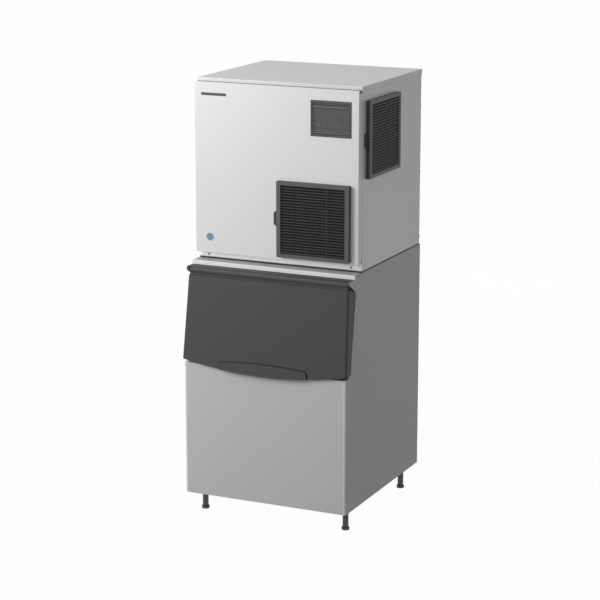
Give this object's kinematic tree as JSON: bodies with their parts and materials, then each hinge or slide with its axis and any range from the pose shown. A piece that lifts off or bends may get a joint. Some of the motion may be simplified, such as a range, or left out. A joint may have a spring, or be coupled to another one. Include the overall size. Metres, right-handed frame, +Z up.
{
  "type": "granular ice machine",
  "caption": "Upright granular ice maker with louvred air grilles on an insulated storage bin with a sloping lift-up door, on levelling legs.",
  "frame": {"origin": "on the floor, under the centre of the storage bin's body in plan", "axes": "+X to the machine's right as seen from the front, +Y to the back, +Z up"},
  "size_m": [0.787, 0.8458, 1.9],
  "materials": {
    "front_steel": "fine satin",
    "bin_steel": "fine satin",
    "galvanised": "galvanised",
    "dark_plastic": "matt",
    "filter_plastic": "matt",
    "smoked_plastic": "smooth",
    "panel_plastic": "matt",
    "liner_plastic": "smooth",
    "float_plastic": "smooth",
    "foam": "foam",
    "rubber": "matt",
    "black_enamel": "satin",
    "fan_plastic": "matt",
    "alloy": "cast",
    "stainless": "machined",
    "copper": "drawn copper",
    "brass": "machined"
  },
  "bodies": {
    "cabinet": {"bin_back_panel": "galvanised", "bin_deck": "bin_steel", "bin_drain": "liner_plastic", "bin_floor_pan": "galvanised", "bin_insulation": "foam", "bin_liner": "liner_plastic", "bin_shell": "bin_steel", "cable_gland": "rubber", "casing_frame": "galvanised", "compressor": "black_enamel", "compressor_mounts": "rubber", "condenser": "alloy", "control_bezel": "dark_plastic", "control_box": "galvanised", "control_panel": "panel_plastic", "door_gasket": "rubber", "evaporator": "stainless", "extruding_head": "stainless", "fan_motor": "black_enamel", "fan_shroud": "galvanised", "front_grille": "dark_plastic", "front_panel": "front_steel", "gear_motor": "alloy", "hinge_bushes": "dark_plastic", "hinge_pins": "galvanised", "ice_chute": "liner_plastic", "ice_spout": "liner_plastic", "left_side_panel": "front_steel", "legs": "bin_steel", "lower_housing": "alloy", "machine_drain": "brass", "maker_base_pan": "front_steel", "mouth_trim": "dark_plastic", "panel_screws": "front_steel", "rear_panel": "galvanised", "refrigerant_pipes": "copper", "reservoir": "liner_plastic", "reservoir_lid": "liner_plastic", "right_side_panel": "front_steel", "seat_gasket": "rubber", "side_grille": "dark_plastic", "switch_frame": "filter_plastic", "top_panel": "front_steel", "water_inlet": "brass", "water_valve": "liner_plastic"},
    "door": {"bin_door": "dark_plastic", "door_inner_panel": "dark_plastic"},
    "front_air_filter": {"front_filter": "filter_plastic"},
    "side_air_filter": {"side_filter": "filter_plastic"},
    "cover": {"control_cover": "smoked_plastic"},
    "switch": {"power_switch": "filter_plastic"},
    "fan": {"fan_blade": "fan_plastic"},
    "ice_auger": {"auger": "stainless", "cutter": "stainless"},
    "level_float": {"water_float": "float_plastic"},
    "full_bin_flap": {"bin_control_flap": "liner_plastic"},
    "front_left_foot": {"foot_front_left": "bin_steel"},
    "front_right_foot": {"foot_front_right": "bin_steel"},
    "back_left_foot": {"foot_back_left": "bin_steel"},
    "back_right_foot": {"foot_back_right": "bin_steel"}
  },
  "joints": [
    {"name": "bin_door_hinge", "type": "hinge", "parent": "cabinet", "child": "door", "pos_m": [0, -0.3555, 1.087], "axis": [-1, 0, 0], "range_deg": [0, 100]},
    {"name": "front_filter_slide", "type": "slide", "parent": "cabinet", "child": "front_air_filter", "axis": [-1, 0, 0], "range_m": [0, 0.29]},
    {"name": "side_filter_slide", "type": "slide", "parent": "cabinet", "child": "side_air_filter", "axis": [0, -1, 0], "range_m": [0, 0.29]},
    {"name": "control_cover_hinge", "type": "hinge", "parent": "cabinet", "child": "cover", "pos_m": [0.2536, -0.286, 1.8262], "axis": [-1, 0, 0], "range_deg": [0, 100]},
    {"name": "power_switch_pivot", "type": "hinge", "parent": "cabinet", "child": "switch", "pos_m": [0.2986, -0.274, 1.763], "axis": [-1, 0, 0], "range_deg": [0, 20]},
    {"name": "fan_spin", "type": "hinge", "parent": "cabinet", "child": "fan", "pos_m": [0.178, -0.1545, 1.3275], "axis": [0, 1, 0], "continuous": true},
    {"name": "auger_spin", "type": "hinge", "parent": "cabinet", "child": "ice_auger", "pos_m": [-0.225, 0.11, 1.3], "axis": [0, 0, 1], "continuous": true},
    {"name": "float_slide", "type": "slide", "parent": "cabinet", "child": "level_float", "axis": [0, 0, 1], "range_m": [0, 0.04]},
    {"name": "flap_hinge", "type": "hinge", "parent": "cabinet", "child": "full_bin_flap", "pos_m": [-0.225, -0.102, 1.233], "axis": [-1, 0, 0], "range_deg": [0, 25]},
    {"name": "front_left_foot_screw", "type": "slide", "parent": "cabinet", "child": "front_left_foot", "axis": [0, 0, -1], "range_m": [0, 0.02]},
    {"name": "front_right_foot_screw", "type": "slide", "parent": "cabinet", "child": "front_right_foot", "axis": [0, 0, -1], "range_m": [0, 0.02]},
    {"name": "back_left_foot_screw", "type": "slide", "parent": "cabinet", "child": "back_left_foot", "axis": [0, 0, -1], "range_m": [0, 0.02]},
    {"name": "back_right_foot_screw", "type": "slide", "parent": "cabinet", "child": "back_right_foot", "axis": [0, 0, -1], "range_m": [0, 0.02]}
  ]
}
